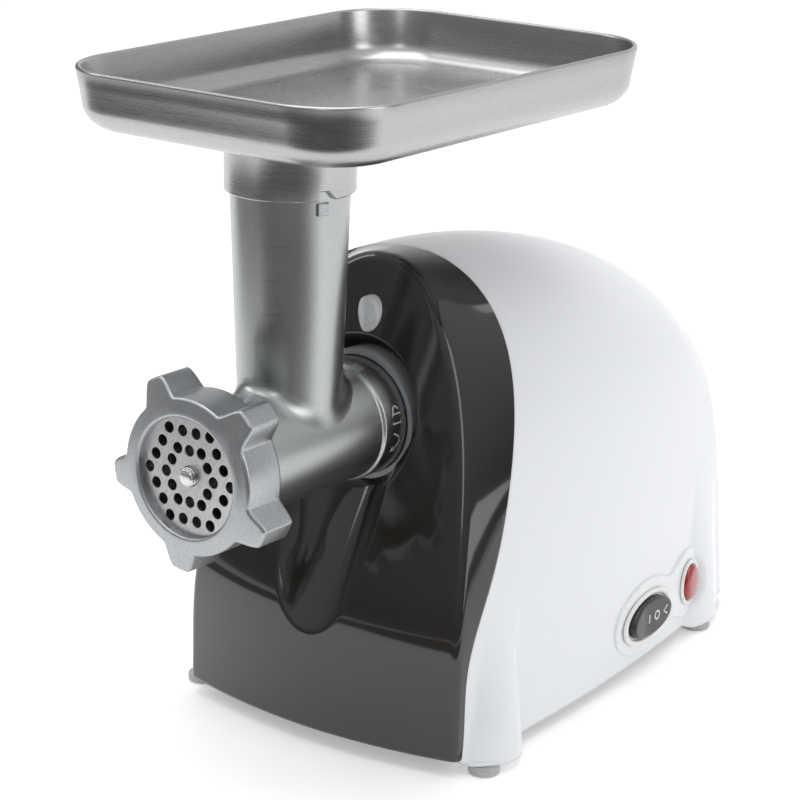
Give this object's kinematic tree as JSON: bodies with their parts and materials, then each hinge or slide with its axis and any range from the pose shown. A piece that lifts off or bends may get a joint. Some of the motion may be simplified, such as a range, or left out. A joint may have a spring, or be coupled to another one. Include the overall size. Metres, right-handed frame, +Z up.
{
  "type": "electric meat grinder",
  "caption": "Electric meat grinder: moulded motor body, detachable cast head with auger, blade, hole plate and ring nut, and a lift-off feed tray.",
  "frame": {"origin": "middle of the overall length and width, on the surface the feet stand on", "axes": "+Z up, -Y is the front with the grinding head, +X is the side with the switches"},
  "size_m": [0.171, 0.332, 0.287],
  "materials": {
    "white_plastic": "gloss",
    "black_plastic": "gloss",
    "grey_plastic": "satin",
    "dark_plastic": "satin",
    "cream_plastic": "gloss",
    "rocker_black": "gloss",
    "red_plastic": "gloss",
    "nylon": "satin",
    "foot_rubber": "matte",
    "black_rubber": "matte",
    "cast_aluminium": "blasted",
    "brushed_aluminium": "brushed",
    "steel": "ground",
    "copper": "enamelled wire",
    "bronze": "satin",
    "carbon": "matte",
    "laminated_iron": "laminated",
    "die_cast": "as cast"
  },
  "bodies": {
    "body": {"main_housing": "white_plastic", "front_panel": "black_plastic", "rear_cover": "white_plastic", "base_plate": "grey_plastic", "rubber_feet": "foot_rubber", "base_screws": "steel", "head_socket": "grey_plastic", "socket_screws": "steel", "rocker_bezel": "cream_plastic", "rocker_switch_body": "dark_plastic", "button_bezel": "cream_plastic", "button_switch_body": "dark_plastic", "cord_inlet": "black_rubber", "second_axle": "steel", "first_axle": "steel", "gearbox_case": "grey_plastic", "gearbox_cover": "grey_plastic", "front_bush": "bronze", "rear_bush": "bronze", "motor_front_bracket": "die_cast", "motor_rear_bracket": "die_cast", "motor_mounts": "black_rubber", "motor_bearings": "steel", "motor_stator": "laminated_iron", "field_coils": "copper", "carbon_brushes": "carbon", "brush_holders": "bronze"},
    "head": {"head_casting": "cast_aluminium", "grinding_plate": "steel", "locating_pin": "steel"},
    "ring": {"ring_nut": "cast_aluminium"},
    "lift_tray": {"tray": "brushed_aluminium"},
    "worm": {"auger": "cast_aluminium", "auger_bush": "nylon", "auger_stud": "steel", "cutting_blade": "steel"},
    "output": {"output_shaft": "steel", "output_gear": "steel"},
    "second": {"second_gear": "nylon", "second_pinion": "steel"},
    "first": {"first_gear": "nylon", "first_pinion": "steel"},
    "rotor": {"rotor_shaft": "steel", "motor_pinion": "steel", "armature_core": "laminated_iron", "armature_winding": "copper", "commutator": "copper", "cooling_fan": "dark_plastic"},
    "release": {"release_button": "cream_plastic", "latch_tongue": "steel", "latch_spring": "steel"},
    "rocker": {"rocker_cap": "rocker_black"},
    "push_button": {"red_button": "red_plastic"}
  },
  "joints": [
    {"name": "head_turn", "type": "hinge", "parent": "body", "child": "head", "pos_m": [0, 0, 0.136], "axis": [0, 1, 0], "range_deg": [0, 45]},
    {"name": "ring_spin", "type": "hinge", "parent": "head", "child": "ring", "pos_m": [0, 0, 0.136], "axis": [0, 1, 0], "continuous": true},
    {"name": "tray_lift", "type": "slide", "parent": "head", "child": "lift_tray", "axis": [0, 0, 1], "range_m": [0, 0.04]},
    {"name": "rotor_spin", "type": "hinge", "parent": "body", "child": "rotor", "pos_m": [0, 0, 0.062], "axis": [0, 1, 0], "continuous": true},
    {"name": "first_spin", "type": "hinge", "parent": "body", "child": "first", "pos_m": [-0.02482, 0, 0.07497], "axis": [0, 1, 0], "continuous": true},
    {"name": "second_spin", "type": "hinge", "parent": "body", "child": "second", "pos_m": [-0.0281, 0, 0.10479], "axis": [0, 1, 0], "continuous": true},
    {"name": "output_spin", "type": "hinge", "parent": "body", "child": "output", "pos_m": [0, 0, 0.136], "axis": [0, 1, 0], "continuous": true},
    {"name": "worm_spin", "type": "hinge", "parent": "body", "child": "worm", "pos_m": [0, 0, 0.136], "axis": [0, 1, 0], "continuous": true},
    {"name": "release_press", "type": "slide", "parent": "body", "child": "release", "axis": [0, 1, 0], "range_m": [0, 0.004], "stiffness_N_per_m": 400, "springref_m": -0.003},
    {"name": "rocker_tilt", "type": "hinge", "parent": "body", "child": "rocker", "pos_m": [0.06517, 0.06413, 0.026], "axis": [0, 0, 1], "range_deg": [-7, 7]},
    {"name": "button_press", "type": "slide", "parent": "body", "child": "push_button", "axis": [-0.9873, -0.1592, 0], "range_m": [0, 0.002], "stiffness_N_per_m": 400, "springref_m": -0.002}
  ],
  "couplings": [
    {"joint": "first_spin", "follows": "rotor_spin", "ratio": -0.16667},
    {"joint": "second_spin", "follows": "rotor_spin", "ratio": 0.041667},
    {"joint": "output_spin", "follows": "rotor_spin", "ratio": -0.013889},
    {"joint": "worm_spin", "follows": "rotor_spin", "ratio": -0.013889}
  ]
}
